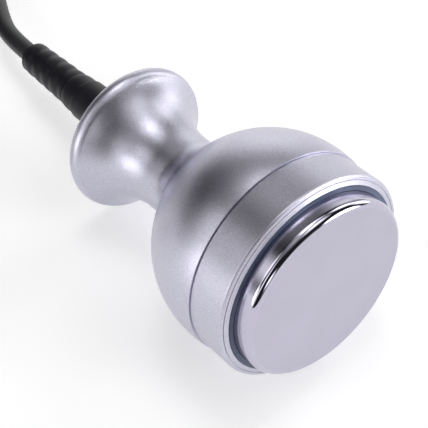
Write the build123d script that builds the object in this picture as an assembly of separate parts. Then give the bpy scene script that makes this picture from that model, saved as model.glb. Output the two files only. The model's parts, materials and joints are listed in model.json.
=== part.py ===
from build123d import *
import math
import os

# Ultrasonic body-treatment handpiece, lying on its side on a table, with its lead coiled beside it.
# Sizes are in millimetres. The pieces are first built about +Z: s is the distance behind the treatment
# face along the handle axis, r the distance from that axis. One placement then lays the handpiece down.

# Treatment head
FACE_R = 30.0  # outside radius of the steel head
FACE_EDGE_R = 2.4  # rounded edge of the treatment face
FACE_THICKNESS = 2.0
HEAD_SKIRT_WALL = 1.5
HEAD_FLANGE_THICKNESS = 2.0

# Insulating ring between head and collar
RING_FRONT_S = 6.5
RING_WIDTH = 1.65  # from the head's outside to the collar's mouth
RING_NOSE_LENGTH = 1.9
RING_FLANGE_THICKNESS = 1.2
RING_NOSE_ROUNDING = 0.15

# Front collar
COLLAR_RIM_WIDTH = 2.9  # from the collar's mouth to its outside
COLLAR_WALL = 1.2
COLLAR_FRONT_S = 6.6  # at its mouth; the front face slopes back from there
COLLAR_FACE_SLOPE = 0.7
COLLAR_BEVEL = 0.7
COLLAR_LIP_THICKNESS = 2.0
COLLAR_LIP_HEIGHT = 0.75
REAR_SEAL_THICKNESS = 1.5
REAR_SEAL_WIDTH = 3.5

# Handle shell: bell, waist and knob in one turned piece
SEAM_S = 20.3
SEAM_CHAMFER = 0.25
BELL_CENTRE_S = 25.62
BELL_STEP = 0.55  # the bell stands proud of the collar at the seam
SHELL_WALL = 2.8
WAIST_R = 14.15
WAIST_FRONT_CURVE_R = 11.7
WAIST_LENGTH = 4.9
KNOB_FLARE_R = 25.7
KNOB_R = 25.7
KNOB_FRONT_ROUNDING = 3.75
KNOB_REAR_ROUNDING = 3.7

# Rear cap of the knob
CAP_RIM_WIDTH = 0.5  # flat rim of the shell round the cap
CAP_THICKNESS = 3.0
CAP_SHOULDER = 3.0
CAP_BOSS_WALL = 3.0
CAP_BOSS_LENGTH = 4.5
CAP_EDGE_CHAMFER = 0.4
CAP_SEAL_THICKNESS = 0.5
SPANNER_HOLE_R = 1.25
SPANNER_HOLE_DEPTH = 1.6

# Bend protector
BOOT_BASE_R = 8.3
BOOT_SMOOTH_LENGTH = 27.0  # behind the cap
BOOT_SMOOTH_END_R = 7.7
BOOT_RIB_START_R = 7.1
BOOT_RIB_END_R = 5.7
BOOT_TIP_R = 5.2
BOOT_RIB_PITCH = 5.8
BOOT_RIB_COUNT = 5
BOOT_RIB_BULGE = 0.65
BOOT_TIP_LENGTH = 4.0
BOOT_NECK_R = 7.5
BOOT_FLANGE_R = 10.5
BOOT_FLANGE_THICKNESS = 2.0

# Cord clamp inside the knob: two half shells and two screws
CLAMP_R = 11.0
CLAMP_LENGTH = 8.0
CLAMP_SPLIT = 0.8
CLAMP_SCREW_R = 1.25
CLAMP_SCREW_HEAD_R = 2.2
CLAMP_SCREW_HEAD_HEIGHT = 1.6
CLAMP_SCREW_OFFSET = 6.6
CLAMP_SCREW_SEAT = 5.0  # height of the counterbore floor above the split plane
CLAMP_SCREW_SLOT = 0.6

# Transducer stack
FRONT_MASS_STRAIGHT = 11.0
FRONT_MASS_LENGTH = 22.0
FRONT_MASS_NECK_STEP = 1.0  # its rear end is wider than the ceramics
PIEZO_SIDE_ROOM = 11.45  # from the ceramics to the shell's spigot
PIEZO_BORE_R = 7.5
PIEZO_THICKNESS = 5.0
ELECTRODE_THICKNESS = 0.3
ELECTRODE_TAB_WIDTH = 5.0
ELECTRODE_TAB_REACH = 3.6
ELECTRODE_TAB_ROOT = 1.0  # the tab's overlap with the disc
BACK_MASS_LENGTH = 15.0
BACK_MASS_CHAMFER = 3.0
BOLT_R = 4.0
BOLT_ENGAGEMENT = 13.0
BOLT_HEAD_R = 6.5
BOLT_HEAD_LENGTH = 7.0
BOLT_SOCKET_SIDE = 6.0
BOLT_SOCKET_DEPTH = 4.0
WASHER_R = 9.0
WASHER_THICKNESS = 1.5
SLEEVE_WALL = 0.9

# Leads and cord
LEAD_R = 0.9
LEAD_RISE = 2.3  # lead centre above the back mass
LEAD_ROOM = 0.4  # between a lead and the bell where it bends inwards
LEAD_SPLAY = 1.7  # lead centre from the cord axis where it leaves the jacket
SOLDER_LENGTH = 3.0
SOLDER_R = 1.5
SOLDER_EDGE = 0.1
CORD_R = 3.5
JACKET_INSIDE = 4.0  # jacket in front of the clamp
END_SLEEVE_WALL = 0.6

# Connector on the far end, built about +Z from its mating end
PLUG_BARREL_R = 6.6
PLUG_BARREL_WALL = 0.9
PLUG_BARREL_LENGTH = 16.0
PLUG_SHOULDER_R = 8.4
PLUG_SHOULDER_LENGTH = 3.0
PLUG_REAR_R = 6.5
PLUG_REAR_LENGTH = 9.0
COUPLING_R = 9.5
COUPLING_FRONT_S = 1.0
COUPLING_THREAD_R = 8.0
COUPLING_FLANGE = 3.4
COUPLING_FLUTES = 30
COUPLING_FLUTE_R = 0.55
COUPLING_CHAMFER = 0.6
SNAP_RING_THICKNESS = 1.0
SNAP_RING_HEIGHT = 0.9
INSERT_FRONT_S = 2.0
INSERT_LENGTH = 13.0
CONTACT_COUNT = 4
CONTACT_CIRCLE_R = 2.6
CONTACT_R = 1.0
CONTACT_BORE_R = 0.55
CONTACT_TAIL = 4.0
BACK_NUT_R = 8.2
BACK_NUT_LENGTH = 24.0
BACK_NUT_STRAIGHT = 15.0
BACK_NUT_END_R = 6.6
BACK_NUT_END_WALL = 2.5
BACK_NUT_FLATS_DEPTH = 0.5
BACK_NUT_FLATS_LENGTH = 6.0
PLUG_BOOT_LENGTH = 22.0
PLUG_BOOT_BASE_R = 5.4
PLUG_BOOT_TIP_R = 4.4
PLUG_BOOT_FLANGE_STEP = 0.6
PLUG_BOOT_FLANGE_THICKNESS = 1.8

# Coil of the put-away lead
COIL_CENTRE = (-28.0, 171.0)
COIL_OUTER_R = 45.5
COIL_GAP = 0.5
TURNS_PER_LAYER = 2.5
TIE_WIDTH = 12.0
TIE_THICKNESS = 1.0
TIE_ANGLE = 90.0  # degrees round the coil
TIE_CLEARANCE = 0.3
DIRECTION_STEP = 1e-4  # turns, for the coil's direction at a place
ROUNDING_SHARE = 0.45  # of the shorter run, taken up by a corner's arc

# Fits and clearances
SLIDE = 0.05  # parts that slide together by hand
THREAD_GAP = 0.1
BOND_GAP = 0.1
RUNNING_GAP = 0.05
AXIAL_GAP = 0.15
BORE_GAP = 0.1  # cord in the bores that hold it

# The cord's own points between the bend protector and the coil: x, y, z on the table.
LEAD_OUT = [(3.0, 106.6, 11.6), (14.9, 132.2, 6.3)]
PLUG_PLACE = (-67.0, 49.0)  # x and y of the connector's mating end
STRAIGHT_END = 14.0  # straight run where the cord leaves a sleeve or meets the coil
PIECES = {}


def between(p, q, length):
    """Point at that distance from p on the line to q, both as (r, s)."""
    d = math.dist(p, q)
    return tuple(a + (b - a) * length / d for a, b in zip(p, q))


def on_axis(p):
    """(r, s) as a point of the turning plane."""
    return (p[0], 0, p[1])


def line(p, q):
    return Line(on_axis(p), on_axis(q))


def lines(*points):
    """The edges between those (r, s) points, in order."""
    return [line(p, q) for p, q in zip(points, points[1:])]


def arc(centre, p, q):
    """The shorter arc about centre from p to q."""
    radius = math.dist(centre, p)
    to_middle = (p[0] + q[0] - 2 * centre[0], p[1] + q[1] - 2 * centre[1])
    scale = radius / math.hypot(*to_middle)
    middle = (centre[0] + to_middle[0] * scale, centre[1] + to_middle[1] * scale)
    return ThreePointArc(on_axis(p), on_axis(middle), on_axis(q))


def turned(edges):
    """The solid turned from a closed outline in (r, s)."""
    return revolve(make_face(edges), Axis.Z)


def turned_points(*points):
    return turned(lines(*points, points[0]))


def ring(outer, inner, start, end):
    """A plain ring, or a disc where inner is 0."""
    return turned_points((inner, start), (outer, start), (outer, end), (inner, end))


def add(name, solid, place=Location()):
    solid.label = name
    PIECES[name] = place * solid


# Radii that follow from the head outwards
mouth_r = FACE_R + RING_WIDTH
lip_r = mouth_r - COLLAR_LIP_HEIGHT
collar_r = mouth_r + COLLAR_RIM_WIDTH
collar_bore_r = collar_r - COLLAR_WALL
thread_r = collar_bore_r - THREAD_GAP
seam_r = collar_r + BELL_STEP
bell_r = math.hypot(seam_r, BELL_CENTRE_S - SEAM_S)
spigot_inner_r = thread_r - SHELL_WALL
piezo_r = spigot_inner_r - PIEZO_SIDE_ROOM

# Places along the handle axis that follow from the sizes
collar_corner_s = COLLAR_FRONT_S + COLLAR_FACE_SLOPE + COLLAR_BEVEL
ring_lip_s = RING_FRONT_S + RING_NOSE_LENGTH
ring_flange_s = ring_lip_s + COLLAR_LIP_THICKNESS
head_flange_s = ring_flange_s + RING_FLANGE_THICKNESS
head_end_s = head_flange_s + HEAD_FLANGE_THICKNESS
seal_end_s = head_end_s + REAR_SEAL_THICKNESS

bell_centre = (0.0, BELL_CENTRE_S)
waist_curve_r = WAIST_R + WAIST_FRONT_CURVE_R
waist_s = BELL_CENTRE_S + math.sqrt((bell_r + WAIST_FRONT_CURVE_R) ** 2 - waist_curve_r**2)
waist_centre = (waist_curve_r, waist_s)
waist_end_s = waist_s + WAIST_LENGTH
flare_centre = (WAIST_R + KNOB_FLARE_R, waist_end_s)
knob_front_centre_r = KNOB_R - KNOB_FRONT_ROUNDING
knob_s = waist_end_s + math.sqrt(
    (KNOB_FLARE_R + KNOB_FRONT_ROUNDING) ** 2 - (flare_centre[0] - knob_front_centre_r) ** 2
)
rear_s = knob_s + KNOB_REAR_ROUNDING
rear_r = KNOB_R - KNOB_REAR_ROUNDING
cap_r = rear_r - CAP_RIM_WIDTH
cap_boss_r = cap_r - CAP_SHOULDER
cap_seat_s = rear_s - CAP_THICKNESS - CAP_SEAL_THICKNESS
cap_bore_r = cap_boss_r + THREAD_GAP
cap_flange_s = rear_s - CAP_THICKNESS
boot_rib_s = rear_s + BOOT_SMOOTH_LENGTH
boot_end_s = boot_rib_s + BOOT_RIB_COUNT * BOOT_RIB_PITCH + BOOT_TIP_LENGTH
boot_flange_s = cap_flange_s - BOOT_FLANGE_THICKNESS
clamp_s = boot_flange_s - CLAMP_LENGTH
jacket_s = clamp_s - JACKET_INSIDE

# The handpiece rests on the bell and on the rear rounding of the knob. The tilt is the angle between
# its axis and the table: both circles of the outline touch the table's line.
rest_reach = knob_s - BELL_CENTRE_S
rest_span = math.hypot(rest_reach, rear_r)
tilt = math.asin((bell_r - KNOB_REAR_ROUNDING) / rest_span) - math.atan2(rear_r, rest_reach)
face_end_y = (
    FACE_EDGE_R * math.cos(tilt) - (FACE_R - FACE_EDGE_R) * math.sin(tilt) - FACE_EDGE_R
)
boot_end_y = boot_end_s * math.cos(tilt) + BOOT_TIP_R * math.sin(tilt)
axis_y = -(face_end_y + boot_end_y) / 2
axis_z = bell_r + BELL_CENTRE_S * math.sin(tilt)
HANDLE = Pos(0, axis_y, axis_z) * Rot(-90 - math.degrees(tilt), 0, 0)


def handle_point(r, s, turn=0.0):
    """A point of the handpiece on the table; turn is degrees about the axis from the table's side."""
    x = r * math.sin(math.radians(turn))
    down = r * math.cos(math.radians(turn))
    y = axis_y + s * math.cos(tilt) - down * math.sin(tilt)
    z = axis_z - s * math.sin(tilt) - down * math.cos(tilt)
    return (x, y, z)


def treatment_head():
    inner_r = FACE_R - HEAD_SKIRT_WALL
    edge_centre = (FACE_R - FACE_EDGE_R, FACE_EDGE_R)
    outside = lines((0, FACE_THICKNESS), (0, 0), (edge_centre[0], 0))
    outside.append(arc(edge_centre, (edge_centre[0], 0), (FACE_R, FACE_EDGE_R)))
    flange_r = collar_bore_r - BOND_GAP
    outside += lines(
        (FACE_R, FACE_EDGE_R),
        (FACE_R, head_flange_s),
        (flange_r, head_flange_s),
        (flange_r, head_end_s),
        (inner_r, head_end_s),
        (inner_r, FACE_THICKNESS),
        (0, FACE_THICKNESS),
    )
    return turned(outside)


def insulating_ring():
    bore = FACE_R + SLIDE
    nose_r = mouth_r - SLIDE
    web_r = lip_r - SLIDE
    flange_r = collar_bore_r - BOND_GAP
    return turned_points(
        (bore, RING_FRONT_S + RING_NOSE_ROUNDING),
        (bore + RING_NOSE_ROUNDING, RING_FRONT_S),
        (nose_r, RING_FRONT_S),
        (nose_r, ring_lip_s),
        (web_r, ring_lip_s),
        (web_r, ring_flange_s),
        (flange_r, ring_flange_s),
        (flange_r, head_flange_s),
        (bore, head_flange_s),
    )


def front_collar():
    return turned_points(
        (mouth_r, COLLAR_FRONT_S),
        (collar_r - COLLAR_BEVEL, collar_corner_s - COLLAR_BEVEL),
        (collar_r, collar_corner_s),
        (collar_r, SEAM_S - SEAM_CHAMFER),
        (collar_r - SEAM_CHAMFER, SEAM_S),
        (collar_bore_r, SEAM_S),
        (collar_bore_r, ring_flange_s),
        (lip_r, ring_flange_s),
        (lip_r, ring_lip_s),
        (mouth_r, ring_lip_s),
    )


def handle_shell():
    bell_to_waist = between(bell_centre, waist_centre, bell_r)
    flare_to_knob = between((knob_front_centre_r, knob_s), flare_centre, KNOB_FRONT_ROUNDING)
    chamfer_s = SEAM_S + SEAM_CHAMFER
    bell_start = (math.sqrt(bell_r**2 - (chamfer_s - BELL_CENTRE_S) ** 2), chamfer_s)
    outside = lines((thread_r, SEAM_S), (seam_r - SEAM_CHAMFER, SEAM_S), bell_start)
    # The bell is more than a quarter of a circle, so it is two arcs that meet at its widest place.
    widest = (bell_r, BELL_CENTRE_S)
    outside.append(arc(bell_centre, bell_start, widest))
    outside.append(arc(bell_centre, widest, bell_to_waist))
    outside.append(arc(waist_centre, bell_to_waist, (WAIST_R, waist_s)))
    outside.append(line((WAIST_R, waist_s), (WAIST_R, waist_end_s)))
    outside.append(arc(flare_centre, (WAIST_R, waist_end_s), flare_to_knob))
    outside.append(arc((knob_front_centre_r, knob_s), flare_to_knob, (KNOB_R, knob_s)))
    outside.append(arc((rear_r, knob_s), (KNOB_R, knob_s), (rear_r, rear_s)))

    counterbore_r = cap_r + SLIDE
    waist_bore_r = WAIST_R - SHELL_WALL
    inner_flare_r = KNOB_FLARE_R + SHELL_WALL
    flare_end_s = waist_end_s + math.sqrt(inner_flare_r**2 - (flare_centre[0] - cap_bore_r) ** 2)
    inner_bell_r = bell_r - SHELL_WALL
    cavity_s = BELL_CENTRE_S + math.sqrt(inner_bell_r**2 - spigot_inner_r**2)
    inner_tangent = between(bell_centre, waist_centre, inner_bell_r)
    inside = lines(
        (rear_r, rear_s),
        (counterbore_r, rear_s),
        (counterbore_r, cap_seat_s),
        (cap_bore_r, cap_seat_s),
        (cap_bore_r, flare_end_s),
    )
    inside.append(arc(flare_centre, (cap_bore_r, flare_end_s), (waist_bore_r, waist_end_s)))
    inside.append(line((waist_bore_r, waist_end_s), (waist_bore_r, waist_s)))
    inside.append(arc(waist_centre, (waist_bore_r, waist_s), inner_tangent))
    inside.append(arc(bell_centre, inner_tangent, (spigot_inner_r, cavity_s)))
    inside += lines(
        (spigot_inner_r, cavity_s),
        (spigot_inner_r, seal_end_s),
        (thread_r, seal_end_s),
        (thread_r, SEAM_S),
    )
    return turned(outside + inside)


def knob_cap():
    boss_inner_r = cap_boss_r - CAP_BOSS_WALL
    hole_r = BOOT_NECK_R + SLIDE
    boss_s = cap_flange_s - CAP_BOSS_LENGTH
    spanner_r = (BOOT_BASE_R + cap_r) / 2
    cap = turned_points(
        (hole_r, cap_flange_s),
        (boss_inner_r, cap_flange_s),
        (boss_inner_r, boss_s),
        (cap_boss_r, boss_s),
        (cap_boss_r, cap_flange_s),
        (cap_r, cap_flange_s),
        (cap_r, rear_s - CAP_EDGE_CHAMFER),
        (cap_r - CAP_EDGE_CHAMFER, rear_s),
        (hole_r, rear_s),
    )
    for side in (-1, 1):
        hole = Cylinder(SPANNER_HOLE_R, 2 * SPANNER_HOLE_DEPTH)
        cap -= Pos(side * spanner_r, 0, rear_s) * hole
    return cap


def bend_protector():
    """Rubber sleeve with a flange inside the cap, a smooth root and round ribs towards its tip."""
    bore = CORD_R + BORE_GAP
    edges = lines(
        (bore, boot_end_s),
        (bore, boot_flange_s),
        (BOOT_FLANGE_R, boot_flange_s),
        (BOOT_FLANGE_R, cap_flange_s),
        (BOOT_NECK_R, cap_flange_s),
        (BOOT_NECK_R, rear_s),
        (BOOT_BASE_R, rear_s),
        (BOOT_SMOOTH_END_R, boot_rib_s),
        (BOOT_RIB_START_R, boot_rib_s),
    )
    notch = (BOOT_RIB_START_R, boot_rib_s)
    for i in range(1, BOOT_RIB_COUNT + 1):
        share = i / BOOT_RIB_COUNT
        following = (
            BOOT_RIB_START_R + (BOOT_RIB_END_R - BOOT_RIB_START_R) * share,
            boot_rib_s + i * BOOT_RIB_PITCH,
        )
        crest = (
            (notch[0] + following[0]) / 2 + BOOT_RIB_BULGE,
            (notch[1] + following[1]) / 2,
        )
        edges.append(ThreePointArc(on_axis(notch), on_axis(crest), on_axis(following)))
        notch = following
    edges += lines(notch, (BOOT_TIP_R, boot_end_s), (bore, boot_end_s))
    return turned(edges)


def clamp_half(side):
    """One half shell of the cord clamp; side +1 lies away from the table."""
    body = ring(CLAMP_R, CORD_R, clamp_s, boot_flange_s)
    middle_s = (clamp_s + boot_flange_s) / 2
    keep = Box(2 * CLAMP_R, CLAMP_R, CLAMP_LENGTH)
    half = body & (Pos(0, -side * (CLAMP_R + CLAMP_SPLIT) / 2, middle_s) * keep)
    for x in (-CLAMP_SCREW_OFFSET, CLAMP_SCREW_OFFSET):
        across = Pos(x, 0, middle_s) * Rot(90, 0, 0)
        half -= across * Cylinder(CLAMP_SCREW_R, 2 * CLAMP_R)
        if side > 0:
            seat = Cylinder(CLAMP_SCREW_HEAD_R + BORE_GAP, CLAMP_R)
            half -= across * Pos(0, 0, CLAMP_SCREW_SEAT + CLAMP_R / 2) * seat
    return half


def clamp_screws():
    middle_s = (clamp_s + boot_flange_s) / 2
    screws = []
    for x in (-CLAMP_SCREW_OFFSET, CLAMP_SCREW_OFFSET):
        across = Pos(x, 0, middle_s) * Rot(90, 0, 0)
        low = -CLAMP_SCREW_SEAT
        shank = Cylinder(CLAMP_SCREW_R, CLAMP_SCREW_SEAT - low)
        head = Cylinder(CLAMP_SCREW_HEAD_R, CLAMP_SCREW_HEAD_HEIGHT)
        head_centre = CLAMP_SCREW_SEAT + CLAMP_SCREW_HEAD_HEIGHT / 2
        slot = Box(2 * CLAMP_SCREW_HEAD_R, CLAMP_SCREW_SLOT, CLAMP_SCREW_HEAD_HEIGHT)
        head -= Pos(0, 0, CLAMP_SCREW_HEAD_HEIGHT / 2) * slot
        screws.append(across * (shank + Pos(0, 0, head_centre) * head))
    return Compound(children=screws)


# Places along the transducer stack
stack_s = FACE_THICKNESS + FRONT_MASS_LENGTH
hot_s = stack_s + PIEZO_THICKNESS
rear_piezo_s = hot_s + ELECTRODE_THICKNESS
ground_s = rear_piezo_s + PIEZO_THICKNESS
back_mass_s = ground_s + ELECTRODE_THICKNESS
washer_s = back_mass_s + BACK_MASS_LENGTH
bolt_head_s = washer_s + WASHER_THICKNESS
bolt_tip_s = stack_s - BOLT_ENGAGEMENT
bolt_clear_r = BOLT_R + BORE_GAP


def front_mass():
    outer_r = FACE_R - HEAD_SKIRT_WALL - BOND_GAP
    straight_end = FACE_THICKNESS + FRONT_MASS_STRAIGHT
    body = turned_points(
        (0, FACE_THICKNESS),
        (outer_r, FACE_THICKNESS),
        (outer_r, straight_end),
        (piezo_r + FRONT_MASS_NECK_STEP, stack_s),
        (0, stack_s),
    )
    return body - ring(bolt_clear_r, 0, bolt_tip_s, stack_s)


def electrode(start, turn):
    """Disc with a tab at its edge, turn degrees from the table's side."""
    disc = ring(piezo_r, PIEZO_BORE_R, start, start + ELECTRODE_THICKNESS)
    inner = piezo_r - ELECTRODE_TAB_ROOT
    length = ELECTRODE_TAB_ROOT + ELECTRODE_TAB_REACH
    tab = Box(ELECTRODE_TAB_WIDTH, length, ELECTRODE_THICKNESS)
    tab = Pos(0, inner + length / 2, start + ELECTRODE_THICKNESS / 2) * tab
    return Rot(0, 0, turn) * (disc + tab)


def back_mass():
    return turned_points(
        (bolt_clear_r, back_mass_s),
        (piezo_r, back_mass_s),
        (piezo_r, washer_s - BACK_MASS_CHAMFER),
        (piezo_r - BACK_MASS_CHAMFER, washer_s),
        (bolt_clear_r, washer_s),
    )


def clamp_bolt():
    end_s = bolt_head_s + BOLT_HEAD_LENGTH
    bolt = ring(BOLT_R, 0, bolt_tip_s, bolt_head_s) + ring(BOLT_HEAD_R, 0, bolt_head_s, end_s)
    socket = extrude(RegularPolygon(BOLT_SOCKET_SIDE / 2, 6, major_radius=False), BOLT_SOCKET_DEPTH)
    return bolt - Pos(0, 0, end_s - BOLT_SOCKET_DEPTH) * socket


def lead(tab_s, turn, splay):
    """Insulated wire from an electrode tab over the back mass, through the waist to the cord."""
    side_r = piezo_r + LEAD_RISE
    waist_r = BOLT_HEAD_R + LEAD_RISE
    bolt_end_s = bolt_head_s + BOLT_HEAD_LENGTH
    reach_r = bell_r - SHELL_WALL - LEAD_ROOM - LEAD_R
    bend_s = BELL_CENTRE_S + math.sqrt(reach_r**2 - side_r**2)
    spots = [
        (side_r, tab_s + SOLDER_LENGTH, turn),
        (side_r, bend_s, turn),
        (waist_r, bolt_end_s, turn),
        (waist_r - LEAD_RISE, bolt_end_s + BOLT_HEAD_R, turn),
        (splay, jacket_s - 2 * LEAD_SPLAY, turn),
        (splay, jacket_s, turn),
    ]
    points = []
    for r, s, around in spots:
        angle = math.radians(around)
        points.append(Vector(-r * math.sin(angle), r * math.cos(angle), s))
    return routed(points, LEAD_R)[0]


def solder_joint(tab_s, turn):
    """Solder on the tab round the end of its lead."""
    joint = turned_points(
        (0, 0), (SOLDER_R, 0), (LEAD_R + SOLDER_EDGE, SOLDER_LENGTH), (0, SOLDER_LENGTH)
    )
    return Rot(0, 0, turn) * Pos(0, piezo_r + LEAD_RISE, tab_s) * joint


def corner_radii(points):
    """Radius of the arc at each inner point: as large as its two runs allow."""
    radii = []
    for a, b, c in zip(points, points[1:], points[2:]):
        turn = math.radians((b - a).get_angle(c - b))
        shorter = min((b - a).length, (c - b).length)
        radii.append(ROUNDING_SHARE * shorter / math.tan(turn / 2))
    return radii


def routed(points, radius):
    """Round tube along straight runs joined by arcs; also its path and its arcs' radii."""
    radii = corner_radii(points)
    path = FilletPolyline(*points, radius=radii)
    start = Plane(origin=points[0], z_dir=points[1] - points[0])
    return sweep(start * Circle(radius), path=path), path, radii


def biarc(p0, t0, p1, t1):
    """Two arcs that leave p0 along t0 and reach p1 along t1."""
    v = p1 - p0
    t = t0 + t1
    spread = 2 * (1 - t0.dot(t1))
    along = v.dot(t)
    d = (-along + math.sqrt(along**2 + spread * v.dot(v))) / spread
    middle = ((p0 + t0 * d) + (p1 - t1 * d)) * 0.5
    first = TangentArc(p0, middle, tangent=t0)
    second = TangentArc(middle, p1, tangent=(p1 - t1 * d - middle).normalized())
    return [first, second]


cord_d = 2 * CORD_R
coil_pitch = cord_d + COIL_GAP
coil_inner_r = COIL_OUTER_R - coil_pitch * (TURNS_PER_LAYER + 0.5)
coil_low_z = CORD_R + TIE_THICKNESS + TIE_CLEARANCE
coil_turns = 2 * TURNS_PER_LAYER + 0.5


def coil_state(turns):
    """Centre-line radius and height after that many turns: in, up a layer, and out again.

    The climb still spirals in, and the half turn after it steps out by a whole pitch, so that the
    turns beside and above the climb keep clear of it.
    """
    climb_end = TURNS_PER_LAYER + 0.5
    if turns <= climb_end:
        climb = max(turns - TURNS_PER_LAYER, 0) / 0.5
        return COIL_OUTER_R - coil_pitch * turns, coil_low_z + coil_pitch * climb * climb * (3 - 2 * climb)
    past = turns - climb_end
    step = coil_pitch * min(past, 0.5) / 0.5
    return coil_inner_r + step + coil_pitch * max(past - 0.5, 0), coil_low_z + coil_pitch


def coil_point(turns):
    r, z = coil_state(turns)
    angle = 2 * math.pi * turns
    x, y = COIL_CENTRE
    return Vector(x + r * math.cos(angle), y + r * math.sin(angle), z)


def coil_direction(turns):
    before = coil_point(max(turns - DIRECTION_STEP, 0))
    after = coil_point(min(turns + DIRECTION_STEP, coil_turns))
    return (after - before).normalized()


def coil_path():
    """Straight end, quarter-turn biarcs, straight end."""
    quarters = round(coil_turns * 4)
    stops = [i / 4 for i in range(quarters + 1)]
    spots = [(coil_point(t), coil_direction(t)) for t in stops]
    first, first_way = spots[0]
    last, last_way = spots[-1]
    edges = [Line(first - first_way * cord_d, first)]
    for (p0, t0), (p1, t1) in zip(spots, spots[1:]):
        edges += biarc(p0, t0, p1, t1)
    edges.append(Line(last, last + last_way * cord_d))
    return Wire(edges), first - first_way * cord_d, first_way, last + last_way * cord_d, last_way


def self_gap(samples_per_turn=72):
    """Least gap between two turns of the coil, surface to surface."""
    count = int(coil_turns * samples_per_turn)
    spots = [coil_point(coil_turns * i / count) for i in range(count + 1)]
    apart = samples_per_turn // 3
    least = min(
        (spots[i] - spots[j]).length
        for i in range(len(spots))
        for j in range(i + apart, len(spots))
    )
    return least - cord_d


def cord_tie():
    """Flat strap round all the turns at one place."""
    angle = math.radians(TIE_ANGLE)
    outward = Vector(math.cos(angle), math.sin(angle), 0)
    layer_top = coil_low_z + coil_pitch
    centre_line = Vector(COIL_CENTRE[0], COIL_CENTRE[1], 0)
    reaches = []
    turn = TIE_ANGLE / 360
    while turn <= coil_turns:
        half_width = TIE_WIDTH / (4 * math.pi * coil_state(turn)[0])
        for offset in (-half_width, 0, half_width):
            reaches.append((coil_point(turn + offset) - centre_line).dot(outward))
        turn += 1
    half = CORD_R + TIE_CLEARANCE
    low_r, high_r = min(reaches) - half, max(reaches) + half
    width = high_r - low_r
    height = layer_top - coil_low_z + 2 * half
    inner = RectangleRounded(width, height, CORD_R)
    wall = 2 * TIE_THICKNESS
    outer = RectangleRounded(width + wall, height + wall, CORD_R + TIE_THICKNESS)
    strap = extrude(outer - inner, TIE_WIDTH / 2, both=True)
    middle_r = (low_r + high_r) / 2
    centre = centre_line + outward * middle_r + Vector(0, 0, (layer_top + coil_low_z) / 2)
    along = Vector(-math.sin(angle), math.cos(angle), 0)
    return Plane(origin=centre, x_dir=outward, z_dir=along) * strap


# Places along the connector
plug_shoulder_s = PLUG_BARREL_LENGTH
plug_rear_s = plug_shoulder_s + PLUG_SHOULDER_LENGTH
plug_rear_end_s = plug_rear_s + PLUG_REAR_LENGTH
coupling_end_s = plug_shoulder_s - AXIAL_GAP
coupling_flange_s = coupling_end_s - COUPLING_FLANGE
snap_end_s = coupling_flange_s - AXIAL_GAP
snap_groove_r = PLUG_BARREL_R - SNAP_RING_HEIGHT / 3
plug_bore_r = PLUG_BARREL_R - PLUG_BARREL_WALL
insert_end_s = INSERT_FRONT_S + INSERT_LENGTH
contact_end_s = insert_end_s + CONTACT_TAIL
back_nut_end_s = plug_rear_s + BACK_NUT_LENGTH
plug_flange_s = back_nut_end_s - BACK_NUT_END_WALL - PLUG_BOOT_FLANGE_THICKNESS
plug_boot_flange_r = PLUG_BOOT_BASE_R + PLUG_BOOT_FLANGE_STEP
plug_boot_end_s = back_nut_end_s + PLUG_BOOT_LENGTH
plug_jacket_s = plug_flange_s - JACKET_INSIDE
PLUG = Pos(PLUG_PLACE[0], PLUG_PLACE[1], COUPLING_R) * Rot(-90, 0, 0)


def plug_shell():
    """Mating barrel, shoulder and threaded rear in one turned piece."""
    return turned_points(
        (plug_bore_r, 0),
        (PLUG_BARREL_R, 0),
        (PLUG_BARREL_R, snap_end_s - SNAP_RING_THICKNESS),
        (snap_groove_r, snap_end_s - SNAP_RING_THICKNESS),
        (snap_groove_r, snap_end_s),
        (PLUG_BARREL_R, snap_end_s),
        (PLUG_BARREL_R, plug_shoulder_s),
        (PLUG_SHOULDER_R, plug_shoulder_s),
        (PLUG_SHOULDER_R, plug_rear_s),
        (PLUG_REAR_R, plug_rear_s),
        (PLUG_REAR_R, plug_rear_end_s),
        (plug_bore_r - BORE_GAP, plug_rear_end_s),
        (plug_bore_r - BORE_GAP, insert_end_s),
        (plug_bore_r, insert_end_s),
    )


def coupling_ring():
    flange_bore = PLUG_BARREL_R + RUNNING_GAP
    body = turned_points(
        (COUPLING_THREAD_R, COUPLING_FRONT_S),
        (COUPLING_R - COUPLING_CHAMFER, COUPLING_FRONT_S),
        (COUPLING_R, COUPLING_FRONT_S + COUPLING_CHAMFER),
        (COUPLING_R, coupling_end_s - COUPLING_CHAMFER),
        (COUPLING_R - COUPLING_CHAMFER, coupling_end_s),
        (flange_bore, coupling_end_s),
        (flange_bore, coupling_flange_s),
        (COUPLING_THREAD_R, coupling_flange_s),
    )
    length = coupling_end_s - COUPLING_FRONT_S
    flute = Cylinder(COUPLING_FLUTE_R, length - 4 * COUPLING_CHAMFER)
    centre_s = (COUPLING_FRONT_S + coupling_end_s) / 2
    cutters = [
        Rot(0, 0, 360 * (i + 0.5) / COUPLING_FLUTES) * Pos(COUPLING_R, 0, centre_s) * flute
        for i in range(COUPLING_FLUTES)
    ]
    return body - cutters


def plug_snap_ring():
    outer = PLUG_BARREL_R + 2 * SNAP_RING_HEIGHT / 3
    body = ring(outer, snap_groove_r, snap_end_s - SNAP_RING_THICKNESS, snap_end_s)
    opening = Box(SNAP_RING_THICKNESS, 2 * SNAP_RING_HEIGHT, 2 * SNAP_RING_THICKNESS)
    return body - Pos(0, outer - SNAP_RING_HEIGHT / 2, snap_end_s) * opening


def around_contacts(solid):
    step = 360 / CONTACT_COUNT
    turns = [Rot(0, 0, step * (i + 0.5)) for i in range(CONTACT_COUNT)]
    return [turn * Pos(CONTACT_CIRCLE_R, 0, 0) * solid for turn in turns]


def plug_insert():
    body = ring(plug_bore_r, 0, INSERT_FRONT_S, insert_end_s)
    return body - around_contacts(ring(CONTACT_R, 0, INSERT_FRONT_S, insert_end_s))


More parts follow.
